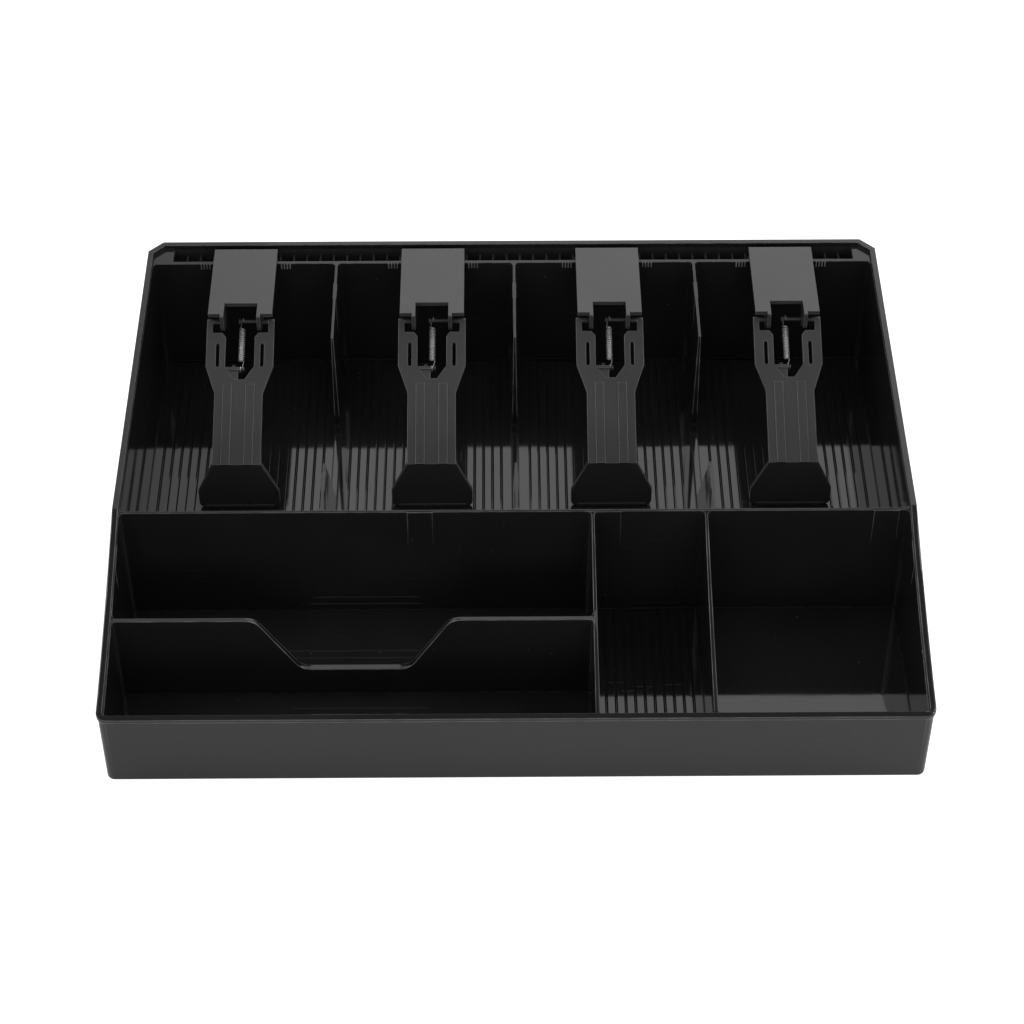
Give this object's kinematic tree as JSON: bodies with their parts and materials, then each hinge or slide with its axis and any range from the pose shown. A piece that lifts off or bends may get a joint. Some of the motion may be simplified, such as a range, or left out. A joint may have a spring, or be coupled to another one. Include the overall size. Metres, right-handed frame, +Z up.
{
  "type": "coin tray",
  "caption": "Cash drawer insert tray with bill compartments under sprung lifting clips and open coin compartments.",
  "frame": {"origin": "middle of the underside, on the surface that the tray stands on", "axes": "+X to the right seen from the front, +Y to the back where the clips hang, +Z up"},
  "size_m": [0.33, 0.266, 0.062],
  "materials": {
    "tray_plastic": "moulded black plastic with a soft gloss",
    "clip_plastic": "moulded black plastic, satin",
    "spring_steel": "bright drawn spring wire"
  },
  "bodies": {
    "root": {"tray": "tray_plastic", "clip_base_1": "clip_plastic", "clip_base_2": "clip_plastic", "clip_base_3": "clip_plastic", "clip_base_4": "clip_plastic"},
    "arm_1": {"clip_arm_1": "clip_plastic", "clip_spring_1": "spring_steel"},
    "arm_2": {"clip_arm_2": "clip_plastic", "clip_spring_2": "spring_steel"},
    "arm_3": {"clip_arm_3": "clip_plastic", "clip_spring_3": "spring_steel"},
    "arm_4": {"clip_arm_4": "clip_plastic", "clip_spring_4": "spring_steel"}
  },
  "joints": [
    {"name": "clip_1_lift", "type": "hinge", "parent": "root", "child": "arm_1", "pos_m": [-0.1206, 0.084, 0.056], "axis": [-1, 0, 0], "range_deg": [0, 55], "stiffness_Nm_per_rad": 0.004, "springref_deg": -114.59, "deforming": ["clip_spring_1"]},
    {"name": "clip_2_lift", "type": "hinge", "parent": "root", "child": "arm_2", "pos_m": [-0.03576, 0.084, 0.056], "axis": [-1, 0, 0], "range_deg": [0, 55], "stiffness_Nm_per_rad": 0.004, "springref_deg": -114.59, "deforming": ["clip_spring_2"]},
    {"name": "clip_3_lift", "type": "hinge", "parent": "root", "child": "arm_3", "pos_m": [0.04302, 0.084, 0.056], "axis": [-1, 0, 0], "range_deg": [0, 55], "stiffness_Nm_per_rad": 0.004, "springref_deg": -114.59, "deforming": ["clip_spring_3"]},
    {"name": "clip_4_lift", "type": "hinge", "parent": "root", "child": "arm_4", "pos_m": [0.1218, 0.084, 0.056], "axis": [-1, 0, 0], "range_deg": [0, 55], "stiffness_Nm_per_rad": 0.004, "springref_deg": -114.59, "deforming": ["clip_spring_4"]}
  ]
}
